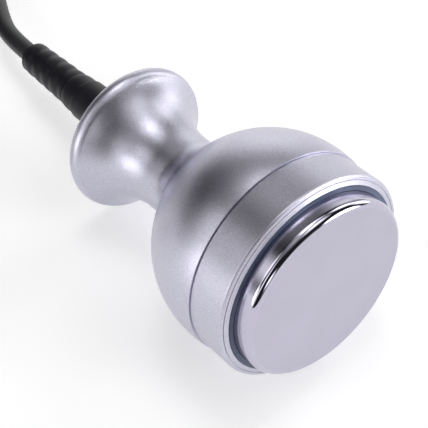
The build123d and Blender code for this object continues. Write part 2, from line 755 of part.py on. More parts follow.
def plug_contacts():
    socket = ring(CONTACT_R, 0, INSERT_FRONT_S, contact_end_s)
    socket -= ring(CONTACT_BORE_R, 0, INSERT_FRONT_S, INSERT_FRONT_S + INSERT_LENGTH / 2)
    return Compound(children=around_contacts(socket))


def plug_wires():
    wire = ring(CONTACT_BORE_R, 0, contact_end_s, plug_jacket_s)
    return Compound(children=around_contacts(wire))


def back_nut():
    thread = PLUG_REAR_R + THREAD_GAP
    mouth_r = PLUG_BOOT_BASE_R + SLIDE
    flange_front = back_nut_end_s - BACK_NUT_END_WALL
    nut = turned_points(
        (thread, plug_rear_s),
        (BACK_NUT_R, plug_rear_s),
        (BACK_NUT_R, plug_rear_s + BACK_NUT_STRAIGHT),
        (BACK_NUT_END_R, back_nut_end_s),
        (mouth_r, back_nut_end_s),
        (mouth_r, flange_front),
        (plug_boot_flange_r + BORE_GAP, flange_front),
        (thread, plug_rear_s + BACK_NUT_STRAIGHT),
    )
    for side in (-1, 1):
        block = Box(2 * BACK_NUT_R, BACK_NUT_FLATS_DEPTH * 2, BACK_NUT_FLATS_LENGTH)
        place = Pos(0, side * BACK_NUT_R, plug_rear_s + BACK_NUT_STRAIGHT / 2)
        nut -= place * block
    return nut


def plug_boot():
    bore = CORD_R + BORE_GAP
    flange_front = back_nut_end_s - BACK_NUT_END_WALL
    return turned_points(
        (bore, plug_flange_s),
        (plug_boot_flange_r, plug_flange_s),
        (plug_boot_flange_r, flange_front),
        (PLUG_BOOT_BASE_R, flange_front),
        (PLUG_BOOT_BASE_R, back_nut_end_s),
        (PLUG_BOOT_TIP_R, plug_boot_end_s),
        (bore, plug_boot_end_s),
    )


def build_handpiece():
    seal_r = collar_bore_r - BOND_GAP
    add("treatment_head", treatment_head(), HANDLE)
    add("insulating_ring", insulating_ring(), HANDLE)
    add("front_collar", front_collar(), HANDLE)
    add("rear_seal_ring", ring(seal_r, seal_r - REAR_SEAL_WIDTH, head_end_s, seal_end_s), HANDLE)
    add("handle_shell", handle_shell(), HANDLE)
    add("cap_seal_ring", ring(cap_r, cap_boss_r + BORE_GAP, cap_seat_s, cap_flange_s), HANDLE)
    add("knob_cap", knob_cap(), HANDLE)
    add("bend_protector", bend_protector(), HANDLE)
    add("cord_clamp_upper", clamp_half(1), HANDLE)
    add("cord_clamp_lower", clamp_half(-1), HANDLE)
    add("cord_clamp_screws", clamp_screws(), HANDLE)


def build_transducer():
    hot_turn, ground_turn = 0.0, 180.0
    add("front_mass", front_mass(), HANDLE)
    add("piezo_ring_front", ring(piezo_r, PIEZO_BORE_R, stack_s, hot_s), HANDLE)
    add("electrode_hot", electrode(hot_s, hot_turn), HANDLE)
    add("piezo_ring_rear", ring(piezo_r, PIEZO_BORE_R, rear_piezo_s, ground_s), HANDLE)
    add("electrode_ground", electrode(ground_s, ground_turn), HANDLE)
    add("back_mass", back_mass(), HANDLE)
    add("bolt_washer", ring(WASHER_R, bolt_clear_r, washer_s, bolt_head_s), HANDLE)
    add("clamp_bolt", clamp_bolt(), HANDLE)
    sleeve_r = bolt_clear_r + SLEEVE_WALL
    add("bolt_sleeve", ring(sleeve_r, bolt_clear_r, stack_s, back_mass_s), HANDLE)
    hot_tab_s = hot_s + ELECTRODE_THICKNESS
    ground_tab_s = ground_s + ELECTRODE_THICKNESS
    add("hot_lead", lead(hot_tab_s, hot_turn, LEAD_SPLAY), HANDLE)
    add("ground_lead", lead(ground_tab_s, ground_turn, LEAD_SPLAY), HANDLE)
    add("hot_solder", solder_joint(hot_tab_s, hot_turn), HANDLE)
    add("ground_solder", solder_joint(ground_tab_s, ground_turn), HANDLE)
    add("cord_in_handle", ring(CORD_R, 0, jacket_s, boot_end_s), HANDLE)
    add("cord_end_sleeve", ring(CORD_R + END_SLEEVE_WALL, CORD_R, jacket_s, clamp_s), HANDLE)


def build_plug():
    add("plug_shell", plug_shell(), PLUG)
    add("coupling_ring", coupling_ring(), PLUG)
    add("plug_snap_ring", plug_snap_ring(), PLUG)
    add("plug_insert", plug_insert(), PLUG)
    add("plug_contacts", plug_contacts(), PLUG)
    add("plug_wires", plug_wires(), PLUG)
    add("plug_back_nut", back_nut(), PLUG)
    add("plug_boot", plug_boot(), PLUG)
    add("cord_in_plug", ring(CORD_R, 0, plug_jacket_s, plug_boot_end_s), PLUG)


def report_tube(name, solid, path, radii):
    section = math.pi * CORD_R**2
    share = solid.volume / (section * path.length)
    print(name, "length", round(path.length, 1), "volume against section times length", round(share, 4))
    print(name, "radii", [round(r) for r in radii])


def build_cord():
    wire, coil_start, start_way, coil_end, end_way = coil_path()
    outlet = Vector(*handle_point(0, boot_end_s))
    ahead = Vector(0, math.cos(tilt), -math.sin(tilt))
    run_out = [outlet, outlet + ahead * STRAIGHT_END]
    run_out += [Vector(*p) for p in LEAD_OUT]
    run_out += [coil_start - start_way * STRAIGHT_END, coil_start]
    tube, path, radii = routed(run_out, CORD_R)
    report_tube("cord", tube, path, radii)
    add("cord", tube)

    coil = sweep(Plane(origin=coil_start, z_dir=start_way) * Circle(CORD_R), path=wire)
    report_tube("cord_coil", coil, wire, [coil_inner_r, COIL_OUTER_R])
    print("cord_coil least gap to itself", round(self_gap(), 2))
    add("cord_coil", coil)

    inlet = Vector(PLUG_PLACE[0], PLUG_PLACE[1] + plug_boot_end_s, COUPLING_R)
    run_in = [coil_end, coil_end + end_way * STRAIGHT_END]
    run_in += [inlet + Vector(0, STRAIGHT_END, 0), inlet]
    tail, tail_path, tail_radii = routed(run_in, CORD_R)
    report_tube("cord_tail", tail, tail_path, tail_radii)
    add("cord_tail", tail)
    add("cord_tie", cord_tie())
    whole = path.length + wire.length + tail_path.length
    print("free cord", round(whole, 1))


build_handpiece()
build_transducer()
build_cord()
build_plug()
os.makedirs("parts", exist_ok=True)
for name, solid in PIECES.items():
    export_step(solid, f"parts/{name}.step")
print("tilt", round(math.degrees(tilt), 3), "pieces", len(PIECES))
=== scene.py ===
"""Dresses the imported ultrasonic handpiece: turned metal, ribbed sleeve, lead, connector and studio.

The turned pieces are drawn in millimetres as outlines in (r, s): r is the distance from the turning
axis, s the distance along it. One placement, read from the record's mounts, lays them down.
"""

from __future__ import annotations

import json
import logging
import math
from dataclasses import dataclass, field
from enum import Enum
from typing import Any

import bmesh
import bpy
from mathutils import Matrix, Vector

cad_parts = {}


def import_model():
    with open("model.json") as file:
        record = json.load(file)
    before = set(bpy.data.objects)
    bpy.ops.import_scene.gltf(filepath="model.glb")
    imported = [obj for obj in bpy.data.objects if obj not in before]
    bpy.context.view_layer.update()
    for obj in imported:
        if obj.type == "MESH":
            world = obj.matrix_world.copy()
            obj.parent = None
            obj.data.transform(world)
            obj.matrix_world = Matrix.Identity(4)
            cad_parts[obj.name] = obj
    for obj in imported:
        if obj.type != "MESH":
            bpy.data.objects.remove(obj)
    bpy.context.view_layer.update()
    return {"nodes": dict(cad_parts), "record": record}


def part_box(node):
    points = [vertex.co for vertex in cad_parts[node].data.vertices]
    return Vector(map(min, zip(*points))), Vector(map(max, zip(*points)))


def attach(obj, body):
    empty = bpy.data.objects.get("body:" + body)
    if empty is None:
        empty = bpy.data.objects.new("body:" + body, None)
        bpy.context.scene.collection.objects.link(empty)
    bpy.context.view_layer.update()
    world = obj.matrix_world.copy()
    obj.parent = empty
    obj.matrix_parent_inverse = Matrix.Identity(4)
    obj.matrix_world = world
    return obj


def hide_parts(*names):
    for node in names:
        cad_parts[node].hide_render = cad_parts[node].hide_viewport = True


LOG = logging.getLogger("handpiece")
MM = 0.001
ROOT = "root"
Pair = tuple[float, float]
Triple = tuple[float, float, float]


class Slot(Enum):
    """The record's material slots."""

    SATIN_ALUMINIUM = "satin_aluminium"
    POLISHED_STEEL = "polished_steel"
    BLUE_GREY_PLASTIC = "blue_grey_plastic"
    BLACK_RUBBER = "black_rubber"
    SEAL_RUBBER = "seal_rubber"
    BLACK_CORD = "black_cord"
    MACHINED_ALUMINIUM = "machined_aluminium"
    MACHINED_STEEL = "machined_steel"
    ZINC_STEEL = "zinc_steel"
    PIEZO_CERAMIC = "piezo_ceramic"
    COPPER_FOIL = "copper_foil"
    PTFE = "ptfe"
    RED_INSULATION = "red_insulation"
    WHITE_INSULATION = "white_insulation"
    SOLDER = "solder"
    NYLON = "nylon"
    PLUG_METAL = "plug_metal"
    CONTACT_GOLD = "contact_gold"
    TIE_FABRIC = "tie_fabric"


# Shader expressions


@dataclass(frozen=True)
class Signal:
    """A node's output socket, with arithmetic that adds Math nodes."""

    graph: Graph
    socket: bpy.types.NodeSocket

    def __add__(self, other: Signal | float) -> Signal:
        """This plus other."""
        return self.graph.math("ADD", self, other)

    __radd__ = __add__

    def __sub__(self, other: Signal | float) -> Signal:
        """This less other."""
        return self.graph.math("SUBTRACT", self, other)

    def __rsub__(self, other: float) -> Signal:
        """Other less this."""
        return self.graph.math("SUBTRACT", other, self)

    def __mul__(self, other: Signal | float) -> Signal:
        """This times other."""
        return self.graph.math("MULTIPLY", self, other)

    __rmul__ = __mul__

    def __truediv__(self, other: Signal | float) -> Signal:
        """This over other."""
        return self.graph.math("DIVIDE", self, other)


class Graph:
    """The nodes of one material or of the world."""

    def __init__(self, tree: bpy.types.NodeTree) -> None:
        """Empties the node tree that the nodes go into."""
        self.tree = tree
        tree.nodes.clear()

    def node(
        self,
        kind: str,
        settings: dict[str, Any] | None = None,
        inputs: dict[str | int, Any] | None = None,
    ) -> bpy.types.Node:
        """Adds any node.

        Args:
            kind: The node's type.
            settings: Its settings, which are set first.
            inputs: Values or signals for its sockets, by name or number.

        Returns:
            The node.
        """
        made = self.tree.nodes.new(kind)
        for name, value in (settings or {}).items():
            setattr(made, name, value)
        for name, value in (inputs or {}).items():
            if isinstance(value, Signal):
                self.tree.links.new(value.socket, made.inputs[name])
            else:
                made.inputs[name].default_value = value
        return made

    def signal(
        self,
        kind: str,
        settings: dict[str, Any] | None = None,
        inputs: dict[str | int, Any] | None = None,
        output: str | int = 0,
    ) -> Signal:
        """Adds any node and gives one of its outputs."""
        return Signal(self, self.node(kind, settings, inputs).outputs[output])

    def math(self, operation: str, a: Signal | float, b: Signal | float = 0.0) -> Signal:
        """One Math node."""
        return self.signal("ShaderNodeMath", {"operation": operation}, {0: a, 1: b})

    def place(self) -> Signal:
        """Object coordinates, in metres."""
        return self.signal("ShaderNodeTexCoord", output="Object")

    def centred(self, matrix: Matrix) -> Signal:
        """Object coordinates in a turned piece's own axes, in millimetres.

        Args:
            matrix: The piece's placement, from millimetres to metres.

        Returns:
            The coordinates as a vector signal.
        """
        turned = matrix.to_3x3().normalized()
        inverse = turned.inverted()
        offset = -(inverse @ matrix.translation) / MM
        return self.signal(
            "ShaderNodeMapping",
            {"vector_type": "POINT"},
            {
                "Vector": self.place(),
                "Location": offset,
                "Rotation": inverse.to_euler(),
                "Scale": (1 / MM,) * 3,
            },
        )

    def noise(
        self, at: Signal, scale: float, detail: float = 2.0, roughness: float = 0.5
    ) -> Signal:
        """Noise of that many cells per unit of the coordinates."""
        return self.signal(
            "ShaderNodeTexNoise",
            None,
            {"Vector": at, "Scale": scale, "Detail": detail, "Roughness": roughness},
        )

    def remap(
        self, value: Signal, low: float, high: float, to_low: float = 0.0, to_high: float = 1.0
    ) -> Signal:
        """A value between low and high as one between to_low and to_high, eased at both ends."""
        ends = {"From Min": low, "From Max": high, "To Min": to_low, "To Max": to_high}
        return self.signal(
            "ShaderNodeMapRange", {"interpolation_type": "SMOOTHSTEP"}, {"Value": value, **ends}
        )

    def blend(self, share: Signal | float, a: Any, b: Any) -> Signal:
        """Colour a where share is 0, colour b where it is 1."""
        return self.signal(
            "ShaderNodeMix",
            {"data_type": "RGBA"},
            {"Factor": share, 6: a, 7: b},
            output=2,
        )

    def along(self, vector: Signal, way: Vector) -> Signal:
        """How far a vector reaches along a way."""
        settings = {"operation": "DOT_PRODUCT"}
        return self.signal("ShaderNodeVectorMath", settings, {0: vector, 1: way}, output="Value")

    def parts(self, vector: Signal) -> list[Signal]:
        """A vector's x, y and z."""
        split = self.node("ShaderNodeSeparateXYZ", None, {"Vector": vector})
        return [Signal(self, output) for output in split.outputs]

    def streaks(self, at: Signal, detail: float) -> Signal:
        """Noise along one coordinate."""
        return self.signal(
            "ShaderNodeTexNoise",
            {"noise_dimensions": "1D"},
            {"W": at, "Scale": 1.0, "Detail": detail},
        )

    def surface(self, kind: str, shader: bpy.types.Node) -> None:
        """Joins a shader to the tree's output."""
        self.node(kind, None, {"Surface": Signal(self, shader.outputs[0])})

    def bump(self, height: Signal, distance: float, strength: float = 1.0) -> Signal:
        """Normals of a height in units of distance, in metres."""
        return self.signal(
            "ShaderNodeBump", None, {"Height": height, "Distance": distance, "Strength": strength}
        )


def rgba(colour: Triple, by: float = 1.0) -> tuple[float, float, float, float]:
    """A colour with its alpha, its brightness multiplied."""
    return (colour[0] * by, colour[1] * by, colour[2] * by, 1.0)


@dataclass(frozen=True)
class Finish:
    """What every finish has: the record's slot and the shader's constants."""

    slot: Slot
    colour: Triple
    roughness: float
    metallic: float = 0.0
    coat: float = 0.0
    coat_roughness: float = 0.1
    sheen: float = 0.0
    specular: float = 0.5

    def material(self) -> bpy.types.Material:
        """The finish as a material, made once."""
        known = bpy.data.materials.get(f"{self.slot.value}_finish")
        if known is not None:
            return known
        made = bpy.data.materials.new(f"{self.slot.value}_finish")
        made.use_nodes = True
        graph = Graph(made.node_tree)
        constants = {
            "Metallic": self.metallic,
            "Coat Roughness": self.coat_roughness,
            "Coat Weight": self.coat,
            "Sheen Weight": self.sheen,
            "Specular IOR Level": self.specular,
        }
        shader = graph.node("ShaderNodeBsdfPrincipled", None, {**constants, **self.looks(graph)})
        graph.surface("ShaderNodeOutputMaterial", shader)
        made.diffuse_color = rgba(self.colour)
        return made

    def looks(self, graph: Graph) -> dict[str, Any]:
        """Sockets of the shader that vary over the surface.

        Args:
            graph: The material's nodes.

        Returns:
            Values or signals by the socket's name.
        """
        raise NotImplementedError


@dataclass(frozen=True)
class BlastedMetal(Finish):
    """Bead-blasted and anodised metal: fine bright grain over faint clouding."""

    grain: float = 2600.0  # cells per metre, as cloud_scale
    grain_depth: float = 0.00012
    pits_per_grain: float = 2.3
    speckle: float = 0.32
    cloud_scale: float = 45.0
    clouding: float = 0.03
    contrast: float = 0.5
    pit_roughness: float = 0.10
    cloud_roughness: float = 0.05

    def looks(self, graph: Graph) -> dict[str, Any]:
        """Grain in the normals and roughness, clouding in the tone."""
        at = graph.place()
        fine = graph.noise(at, self.grain, 2.0, 0.6)
        pits = graph.noise(at, self.grain * self.pits_per_grain, 1.0)
        clouds = graph.noise(at, self.cloud_scale, 3.0)
        spread = (clouds - 0.5) * self.clouding + (fine - 0.5) * self.speckle
        spread = spread + (pits - 0.5) * self.speckle
        rough = (pits - 0.5) * self.pit_roughness
        return {
            "Base Color": graph.blend(
                spread * 2.0 + 0.5,
                rgba(self.colour, 1 - self.contrast),
                rgba(self.colour, 1 + self.contrast),
            ),
            "Roughness": self.roughness + rough + (clouds - 0.5) * self.cloud_roughness,
            "Normal": graph.bump(fine + pits * 0.5, self.grain_depth, 0.5),
        }


@dataclass(frozen=True)
class PolishedSteel(Finish):
    """A lapped flat face in a mirror-polished edge, over a finely brushed skirt."""

    face: Matrix = field(default_factory=Matrix)
    edge_roughness: float = 0.05
    skirt_roughness: float = 0.16
    edge_s: float = 2.4
    edge_blend: float = 0.12  # millimetres, as skirt_blend
    skirt_blend: float = 0.4
    edge_tone: float = 1.05
    brush_lines: float = 14.0  # per millimetre
    lapping_spread: float = 0.05
    mark_depth: float = 0.000004

    def looks(self, graph: Graph) -> dict[str, Any]:
        """Lapped where the surface lies in the face plane, mirror bright elsewhere."""
        at = graph.centred(self.face)
        depth = graph.parts(at)[2]
        rim = graph.remap(depth, 0.0, self.edge_blend)
        skirt = graph.remap(depth, self.edge_s, self.edge_s + self.skirt_blend)
        brushing = graph.streaks(depth * self.brush_lines, 2.0)
        polish = self.edge_roughness + skirt * (self.skirt_roughness - self.edge_roughness)
        clouds = graph.noise(at, 0.07, 3.0)
        lapping = graph.noise(at, 9.0, 2.0)
        share = graph.remap(clouds, 0.35, 0.65)
        tone = graph.blend(share, rgba(self.colour, 0.985), rgba(self.colour, 1.015))
        lapped = self.roughness + (lapping - 0.5) * self.lapping_spread
        marks = lapping * (1.0 - rim) + brushing * skirt * 0.5
        return {
            "Base Color": graph.blend(rim, tone, rgba(self.colour, self.edge_tone)),
            "Roughness": lapped * (1.0 - rim) + rim * polish,
            "Normal": graph.bump(marks, self.mark_depth, 0.3),
        }


@dataclass(frozen=True)
class TurnedMetal(Finish):
    """Machined or plated metal with fine tool marks round its axis."""

    axis: Matrix = field(default_factory=Matrix)
    mark_depth: float = 0.000004
    marks_per_mm: float = 9.0
    face_marks: float = 1.3  # marks on a face for each along the axis
    mark_roughness: float = 0.12
    stain: float = 0.05

    def looks(self, graph: Graph) -> dict[str, Any]:
        """Tool marks along r and s, with a faint stain in the tone."""
        at = graph.centred(self.axis)
        x, y, s = graph.parts(at)
        r = graph.math("SQRT", x * x + y * y)
        marks = graph.streaks((r * self.face_marks + s) * self.marks_per_mm, 3.0)
        stains = graph.noise(at, 0.25, 3.0)
        share = graph.remap(stains, 0.35, 0.65)
        return {
            "Base Color": graph.blend(share, rgba(self.colour, 1 - self.stain), rgba(self.colour)),
            "Roughness": self.roughness + (marks - 0.5) * self.mark_roughness,
            "Normal": graph.bump(marks, self.mark_depth, 0.5),
        }


@dataclass(frozen=True)
class Moulded(Finish):
    """Moulded plastic or rubber: fine skin texture and faint mottling."""

    skin: float = 1500.0  # cells per metre, as mottle_scale
    skin_depth: float = 0.00002
    skin_roughness: float = 0.08
    mottle_scale: float = 160.0
    mottle: float = 0.12
    mottle_roughness: float = 0.15

    def looks(self, graph: Graph) -> dict[str, Any]:
        """Skin texture in the normals, mottling in tone and roughness."""
        at = graph.place()
        skin = graph.noise(at, self.skin, 3.0)
        mottling = graph.noise(at, self.mottle_scale, 4.0)
        share = graph.remap(mottling, 0.35, 0.7)
        dark, light = rgba(self.colour, 1 - self.mottle), rgba(self.colour, 1 + self.mottle)
        rough = self.roughness + (mottling - 0.5) * self.mottle_roughness
        return {
            "Base Color": graph.blend(share, dark, light),
            "Roughness": rough + (skin - 0.5) * self.skin_roughness,
            "Normal": graph.bump(skin, self.skin_depth, 0.3),
        }


@dataclass(frozen=True)
class WovenTape(Finish):
    """Hook-and-loop tape: short loops on a woven ground."""

    threads: float = 1600.0  # per metre, as lint_scale
    loop_depth: float = 0.0003
    lint_scale: float = 420.0
    lint_tone: float = 2.2

    def looks(self, graph: Graph) -> dict[str, Any]:
        """Loops in the normals, lint in the tone."""
        at = graph.place()
        cells = {"Vector": at, "Scale": self.threads}
        loops = graph.signal("ShaderNodeTexVoronoi", {"feature": "F1"}, cells, output="Distance")
        lint = graph.noise(at, self.lint_scale, 3.0)
        share = graph.remap(lint + loops * 0.3, 0.35, 0.8)
        return {
            "Base Color": graph.blend(share, rgba(self.colour), rgba(self.colour, self.lint_tone)),
            "Roughness": self.roughness + (lint - 0.5) * 0.1,
            "Normal": graph.bump(loops, self.loop_depth, 0.6),
        }


# Drawing and turning


class Outline:
    """A closed outline in (r, s), drawn point by point and turned about the s axis."""

    SUPPORT = 0.04  # keeps a straight run flat right up to the arc beside it
    ARC_STEP = math.radians(4)

    def __init__(self, r: float, s: float) -> None:
        """Starts the outline at a distance r from the turning axis and s along it."""
        self.mesh = bmesh.new()
        self.tip = self.mesh.verts.new((r, 0.0, s))

    def _step(self, r: float, s: float) -> None:
        """Extrudes the tip to a point."""
        made = bmesh.ops.extrude_vert_indiv(self.mesh, verts=[self.tip])
        self.tip = made["verts"][0]
        self.tip.co = (r, 0.0, s)

    def line(self, *points: Pair) -> Outline:
        """Straight runs through those points.

        Args:
            points: The ends of the runs, in order.

        Returns:
            The outline.
        """
        for r, s in points:
            start, end = self.tip.co.copy(), Vector((r, 0.0, s))
            run = end - start
            if run.length > 4 * self.SUPPORT:
                inset = run.normalized() * self.SUPPORT
                for stop in (start + inset, end - inset):
                    self._step(stop.x, stop.z)
            self._step(r, s)
        return self

    def arc(self, centre: Pair, r: float, s: float, step: float = ARC_STEP) -> Outline:
        """The shorter arc about a centre to a point.

        Args:
            centre: The arc's centre.
            r: Where the arc ends.
            s: Where the arc ends.
            step: Angle between two points of the arc.

        Returns:
            The outline.
        """
        here = self.tip.co
        start = math.atan2(here.x - centre[0], here.z - centre[1])
        turn = math.atan2(r - centre[0], s - centre[1]) - start
        turn = (turn + math.pi) % math.tau - math.pi
        made = bmesh.ops.spin(
            self.mesh,
            geom=[self.tip],
            cent=(centre[0], 0.0, centre[1]),
            axis=(0, 1, 0),
            angle=turn,
            steps=max(2, round(abs(turn) / step)),
        )
        self.tip = next(v for v in made["geom_last"] if isinstance(v, bmesh.types.BMVert))
        return self

    def turned(self, steps: int) -> bmesh.types.BMesh:
        """The closed shape that the outline sweeps round the s axis.

        Args:
            steps: Segments in a full turn.

        Returns:
            The mesh, in millimetres.
        """
        bmesh.ops.remove_doubles(self.mesh, verts=self.mesh.verts[:], dist=1e-5)
        bmesh.ops.spin(
            self.mesh,
            geom=self.mesh.verts[:] + self.mesh.edges[:],
            cent=(0, 0, 0),
            axis=(0, 0, 1),
            angle=math.tau,
            steps=steps,
            use_merge=True,
        )
        bmesh.ops.remove_doubles(self.mesh, verts=self.mesh.verts[:], dist=1e-5)
        bmesh.ops.recalc_face_normals(self.mesh, faces=self.mesh.faces[:])
        return self.mesh


def absorb(whole: bmesh.types.BMesh, part: bmesh.types.BMesh) -> None:
    """Adds a part's mesh to the whole and frees the part."""
    data = bpy.data.meshes.new("part")
    part.to_mesh(data)
    part.free()
    whole.from_mesh(data)
    bpy.data.meshes.remove(data)


def stood(name: str, data: bpy.types.ID) -> bpy.types.Object:
    """A new object in the scene, of that name and data."""
    made = bpy.data.objects.new(name, data)
    bpy.context.scene.collection.objects.link(made)
    return made


@dataclass(frozen=True)
class Placed:
    """A mesh in millimetres that becomes a named piece on a body."""

    name: str
    mesh: bmesh.types.BMesh
    place: Matrix
    finish: Finish
    replaces: tuple[str, ...]
    body: str = ROOT
    crease: float = 30.0

    def piece(self) -> bpy.types.Object:
        """The piece, dressed and riding on its body."""
        self.mesh.transform(self.place)
        data = bpy.data.meshes.new(self.name)
        self.mesh.to_mesh(data)
        self.mesh.free()
        data.shade_smooth()
        data.set_sharp_from_angle(angle=math.radians(self.crease))
        made = stood(self.name, data)
        data.materials.append(self.finish.material())
        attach(made, self.body)
        if self.replaces:
            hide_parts(*self.replaces)
        LOG.info("%s: %d faces, replaces %s", self.name, len(data.polygons), self.replaces)
        return made


def mount_place(record: dict[str, Any], name: str) -> Matrix:
    """Placement of a piece that is turned about a mount's axis, from millimetres to metres.

    Args:
        record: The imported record.
        name: The mount's name. Its axis points out of the piece, against s.

    Returns:
        The placement.
    """
    mount = next(m for m in record["mounts"] if m["name"] == name)
    along = -Vector(mount["axis"])
    tilt = math.atan2(-along.z, along.y)
    turned = Matrix.Rotation(-math.pi / 2 - tilt, 4, "X")
    return Matrix.Translation(mount["pos_m"]) @ turned @ Matrix.Scale(MM, 4)


# Camera, floor and light


@dataclass(frozen=True)
class PhotoCamera:
    """The photograph's view: from the treatment end, a little to its left and well above."""

    azimuth: float = -39.679
    elevation: float = 52.411
    location: Triple = (-0.138428, -0.191501, 0.30651)
    lens: float = 93.81
    sensor: float = 36.0

    def build(self) -> bpy.types.Object:
        """Makes the scene's camera, at the place fitted to the photograph."""
        a, e = math.radians(self.azimuth), math.radians(self.elevation)
        right = Vector((math.cos(a), math.sin(a), 0))
        up = Vector((-math.sin(a) * math.sin(e), math.cos(a) * math.sin(e), math.cos(e)))
        data = bpy.data.cameras.new("photo_camera")
        data.lens, data.sensor_width = self.lens, self.sensor
        data.clip_start, data.clip_end = 0.01, 50.0
        made = stood("photo_camera", data)
        made.matrix_world = Matrix.Translation(self.location) @ Matrix(
            (right, up, right.cross(up))
        ).transposed().to_4x4()
        bpy.context.scene.camera = made
        return made


def sky_way(azimuth: float, elevation: float) -> Vector:
    """Unit vector at those angles, in degrees."""
    a, e = math.radians(azimuth), math.radians(elevation)
    return Vector((math.sin(a) * math.cos(e), math.cos(a) * math.cos(e), math.sin(e)))


@dataclass(frozen=True)
class SkyPatch:
    """One soft oval of light in the studio: angles in degrees, azimuth from +Y towards +X."""

    name: str
    azimuth: float
    elevation: float
    half_width: float
    half_height: float
    level: float
    core: float = 0.12  # share of the oval that is evenly bright

    def light(self, graph: Graph, way: Signal) -> Signal:
        """What the patch adds to the room in a direction.

        Args:
            graph: The world's nodes.
            way: The direction.

        Returns:
            The patch's light as a signal.
        """
        middle, across = sky_way(self.azimuth, self.elevation), sky_way(self.azimuth + 90, 0)
        wide = graph.along(way, across) / math.sin(math.radians(self.half_width))
        high = graph.along(way, across.cross(middle)) / math.sin(math.radians(self.half_height))
        behind = graph.math("LESS_THAN", graph.along(way, middle), 0.0)
        reach = graph.math("SQRT", wide * wide + high * high) + behind
        return graph.remap(reach, self.core, 1.0, self.level, 0.0)


@dataclass(frozen=True)
class Studio:
    """White floor, and a dark room with soft patches of light round the object."""

    floor_size: float = 6.0
    floor_roughness: float = 0.9
    floor_specular: float = 0.1
    floor_tone: float = 0.86
    floor_lift: float = 0.41
    base_level: float = 0.02
    patches: tuple[SkyPatch, ...] = (
        SkyPatch("front_right_box", 138.0, 8.0, 18.0, 16.0, 21.0),
        SkyPatch("front_card", 182.0, 3.0, 42.0, 14.0, 1.1),
        SkyPatch("left_strip", -99.0, 30.0, 9.0, 44.0, 1.9),
        SkyPatch("left_low", -76.0, 4.0, 22.0, 20.0, 5.1),
        SkyPatch("left_high", -58.0, 34.0, 20.0, 28.0, 1.91),
        SkyPatch("rear_card", 42.0, 7.0, 46.0, 35.0, 1.36),
        SkyPatch("right_low", 95.0, 9.0, 20.0, 21.0, 3.17),
        SkyPatch("right_high", 86.0, 35.0, 16.0, 24.0, 3.38),
        SkyPatch("rear_high", 35.0, 66.0, 30.0, 12.0, 2.09),
        SkyPatch("front_high", 139.0, 61.0, 24.0, 20.0, 2.0),
        SkyPatch("rear_mid", 12.0, 42.0, 42.0, 18.0, 0.22),
        SkyPatch("top", -4.0, 89.0, 41.0, 44.0, 0.6),
        SkyPatch("top_spot", 38.0, 77.0, 14.0, 14.0, 5.0),
        SkyPatch("front_left_low", -147.0, 19.0, 13.0, 12.0, 3.0),
    )

    def build(self) -> None:
        """Makes the floor and the world."""
        self._floor()
        self._world()

    def _floor(self) -> None:
        """A plain white floor that is lifted to white for the eye and keeps the shadow."""
        mesh = bmesh.new()
        bmesh.ops.create_grid(mesh, x_segments=1, y_segments=1, size=self.floor_size / 2)
        data = bpy.data.meshes.new("floor")
        mesh.to_mesh(data)
        mesh.free()
        made = stood("floor", data)
        material = bpy.data.materials.new("floor_paper")
        material.use_nodes = True
        graph = Graph(material.node_tree)
        seen = self._seen(graph)
        shader = graph.node(
            "ShaderNodeBsdfPrincipled",
            None,
            {
                "Base Color": rgba((self.floor_tone,) * 3),
                "Roughness": self.floor_roughness,
                "Specular IOR Level": self.floor_specular,
                "Emission Color": rgba((1.0, 1.0, 1.0)),
                "Emission Strength": seen * self.floor_lift,
            },
        )
        graph.surface("ShaderNodeOutputMaterial", shader)
        data.materials.append(material)

    @staticmethod
    def _seen(graph: Graph) -> Signal:
        """1 for rays that show the background: the camera's, and those in gloss and glass."""
        path = graph.node("ShaderNodeLightPath")
        camera, glossy, through = (
            Signal(graph, path.outputs[name])
            for name in ("Is Camera Ray", "Is Glossy Ray", "Is Transmission Ray")
        )
        return graph.math("MINIMUM", camera + glossy + through, 1.0)

    def _world(self) -> None:
        """Adds up the patches of light."""
        world = bpy.data.worlds.new("studio")
        bpy.context.scene.world = world
        world.use_nodes = True
        graph = Graph(world.node_tree)
        way = graph.signal("ShaderNodeTexCoord", output="Generated")
        level: Signal | float = self.base_level
        for patch in self.patches:
            level = level + patch.light(graph, way)
            LOG.info("light from %s", patch.name)
        inputs = {"Color": rgba((1, 1, 1)), "Strength": level}
        graph.surface("ShaderNodeOutputWorld", graph.node("ShaderNodeBackground", None, inputs))


# The handpiece


@dataclass(frozen=True)
class TreatmentHead:
    """Steel head: flat face, rounded edge, thin skirt and rear flange."""

    face_r: float = 30.0
    edge_r: float = 2.4
    thickness: float = 2.0
    skirt_wall: float = 1.5
    flange_s: float = 11.6
    flange_r: float = 33.25
    flange_thickness: float = 2.0

    def build(self, place: Matrix, finish: Finish) -> bpy.types.Object:
        """Turns the head."""
        edge = (self.face_r - self.edge_r, self.edge_r)
        inner = self.face_r - self.skirt_wall
        end = self.flange_s + self.flange_thickness
        outline = Outline(0.0, self.thickness).line((0.0, 0.0), (edge[0], 0.0))
        outline.arc(edge, self.face_r, self.edge_r, math.radians(6))
        outline.line(
            (self.face_r, self.flange_s),
            (self.flange_r, self.flange_s),
            (self.flange_r, end),
            (inner, end),
            (inner, self.thickness),
            (0.0, self.thickness),
        )
        return Placed("steel_head", outline.turned(256), place, finish, ("treatment_head",)).piece()


